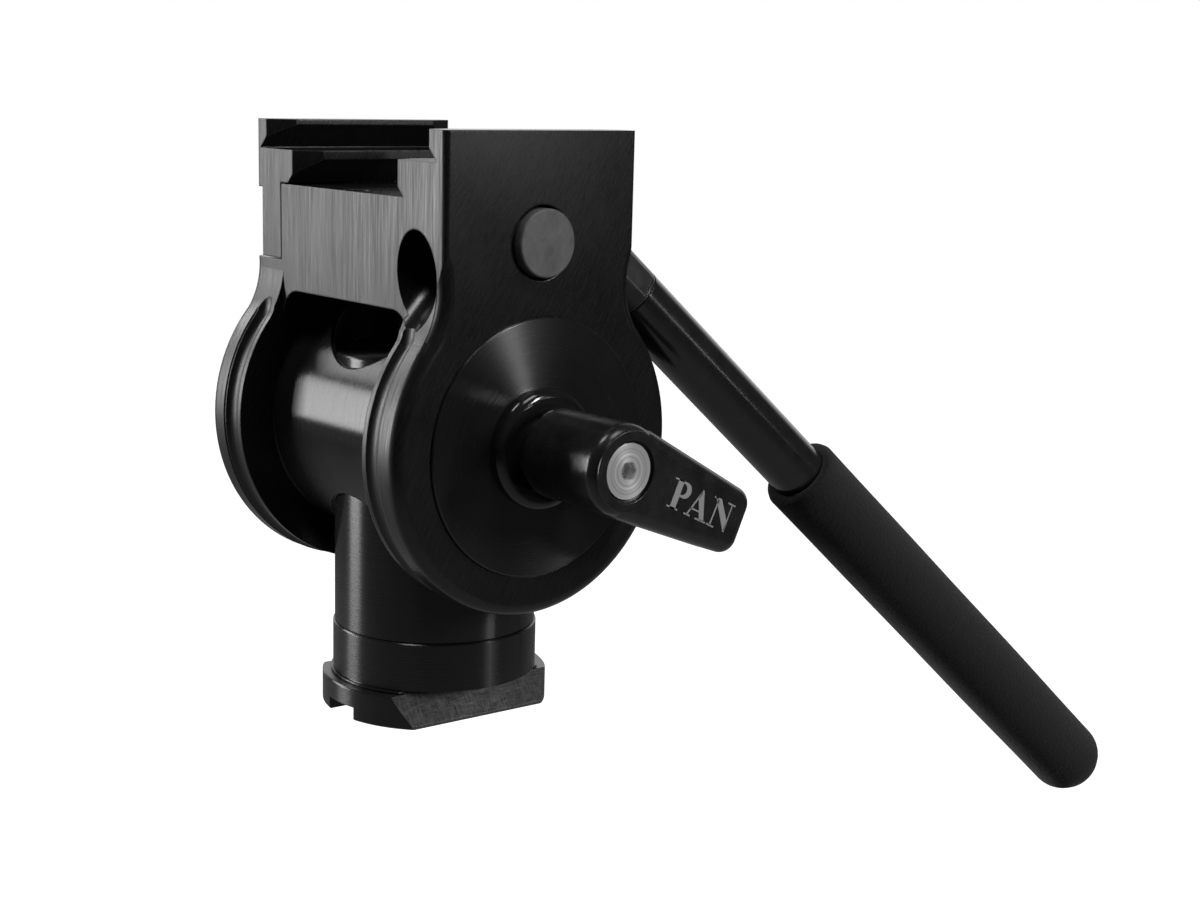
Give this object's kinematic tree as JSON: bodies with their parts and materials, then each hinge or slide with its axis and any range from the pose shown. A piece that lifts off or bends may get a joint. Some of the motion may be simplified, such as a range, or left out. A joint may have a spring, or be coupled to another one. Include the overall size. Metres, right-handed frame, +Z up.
{
  "type": "pan head",
  "caption": "Compact camera pan head: fork-like yoke tilting on a cross barrel that pans round a post, with lever locks, quick-release dovetail jaw and foam-gripped handle.",
  "frame": {"origin": "on the pan axis, at the underside of the foot", "axes": "+Z up along the pan axis, +X along the tilt axis towards the pan lever, +Y towards the side the handle points to, so the front is -Y"},
  "size_m": [0.1128, 0.1865, 0.1502],
  "materials": {
    "black_anodised": "black anodised, finely brushed",
    "satin_black": "black anodised, blasted satin",
    "silver_steel": "turned and bright",
    "bronze": "turned",
    "nylon": "plain moulded",
    "foam": "closed-cell foam, matte"
  },
  "bodies": {
    "base": {"foot": "black_anodised", "foot_screws": "silver_steel", "foot_dowels": "silver_steel", "post": "black_anodised"},
    "pan_body": {"barrel": "black_anodised", "pan_bush": "black_anodised", "tilt_bush": "black_anodised"},
    "pan_clamp": {"pan_stud": "silver_steel", "pan_lever": "black_anodised", "pan_lever_screw": "silver_steel"},
    "pan_pad": {"pan_shoe": "bronze"},
    "tilt_clamp": {"tilt_stud": "silver_steel", "tilt_lever": "black_anodised", "tilt_lever_screw": "silver_steel"},
    "upper_plunger": {"tilt_plunger_up": "bronze"},
    "lower_plunger": {"tilt_plunger_down": "bronze"},
    "tilt_body": {"yoke": "black_anodised", "tilt_liner_near": "nylon", "tilt_liner_far": "nylon", "button_spring": "silver_steel", "handle_collar": "black_anodised", "handle_stud": "silver_steel", "handle_tube": "satin_black", "handle_plug": "nylon", "grip": "foam"},
    "clamp_jaw": {"jaw": "black_anodised", "jaw_guides": "silver_steel", "drawbar": "silver_steel", "quick_release_button": "satin_black"}
  },
  "joints": [
    {"name": "pan", "type": "hinge", "parent": "base", "child": "pan_body", "pos_m": [0, 0, 0.0546], "axis": [0, 0, 1], "continuous": true},
    {"name": "tilt", "type": "hinge", "parent": "pan_body", "child": "tilt_body", "pos_m": [0, 0, 0.0546], "axis": [1, 0, 0], "range_deg": [-90, 90]},
    {"name": "pan_lock", "type": "hinge", "parent": "pan_body", "child": "pan_clamp", "pos_m": [0, 0, 0.0546], "axis": [1, 0, 0], "range_deg": [0, 90]},
    {"name": "pan_pad_slide", "type": "slide", "parent": "pan_body", "child": "pan_pad", "axis": [1, 0, 0], "range_m": [0, 0.00032]},
    {"name": "tilt_lock", "type": "hinge", "parent": "pan_body", "child": "tilt_clamp", "pos_m": [0, 0, 0.0546], "axis": [-1, 0, 0], "range_deg": [0, 90]},
    {"name": "upper_plunger_slide", "type": "slide", "parent": "pan_body", "child": "upper_plunger", "axis": [0, 0, -1], "range_m": [0, 0.00016]},
    {"name": "lower_plunger_slide", "type": "slide", "parent": "pan_body", "child": "lower_plunger", "axis": [0, 0, 1], "range_m": [0, 0.00016]},
    {"name": "jaw_release", "type": "slide", "parent": "tilt_body", "child": "clamp_jaw", "axis": [-1, 0, 0], "range_m": [0, 0.0017], "stiffness_N_per_m": 2000, "springref_m": -0.005, "deforming": ["button_spring"]}
  ],
  "couplings": [
    {"joint": "pan_pad_slide", "follows": "pan_lock", "m_per_rad": 0.00019894},
    {"joint": "upper_plunger_slide", "follows": "tilt_lock", "m_per_rad": 0.00009277},
    {"joint": "lower_plunger_slide", "follows": "tilt_lock", "m_per_rad": 0.00009277}
  ]
}
